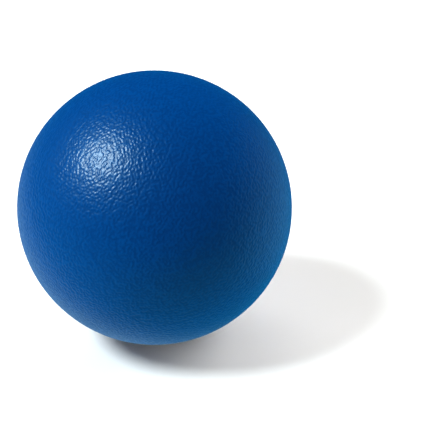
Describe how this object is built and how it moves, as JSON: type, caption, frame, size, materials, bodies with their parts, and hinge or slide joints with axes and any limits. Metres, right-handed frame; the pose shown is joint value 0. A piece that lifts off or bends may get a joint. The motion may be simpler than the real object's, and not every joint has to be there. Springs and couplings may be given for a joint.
{
  "type": "stress ball",
  "caption": "Soft foam ball with a thin seamless grained skin, squeezed in one hand; it flattens between palm and fingers and springs back.",
  "frame": {"origin": "centre of the ball", "axes": "+Z along the squeeze, from the palm to the fingers; the ball is round, so +X and +Y are free"},
  "size_m": [0.07, 0.07, 0.07],
  "materials": {
    "blue_satin_skin": "royal blue polyurethane coat with a fine leathery grain and a satin shine",
    "clear_blue_elastomer": "clear blue stretchy polyurethane coat, a little paler than the outside, faintly cloudy, with a softer grain",
    "sealing_primer": "thin chalky off-white film, matt, mottled where it soaked into the foam",
    "soft_foam": "cream open-cell polyurethane foam, matt, fine cells"
  },
  "bodies": {
    "palm_side": {"foam_core_lower": "soft_foam", "sealing_coat": "sealing_primer", "elastomer_coat": "clear_blue_elastomer", "colour_coat": "blue_satin_skin"},
    "finger_side": {"foam_core_upper": "soft_foam"}
  },
  "joints": [
    {"name": "squeeze", "type": "slide", "parent": "palm_side", "child": "finger_side", "axis": [0, 0, -1], "range_m": [0, 0.028], "stiffness_N_per_m": 2000, "deforming": ["foam_core_lower", "foam_core_upper", "sealing_coat", "elastomer_coat", "colour_coat"]}
  ]
}
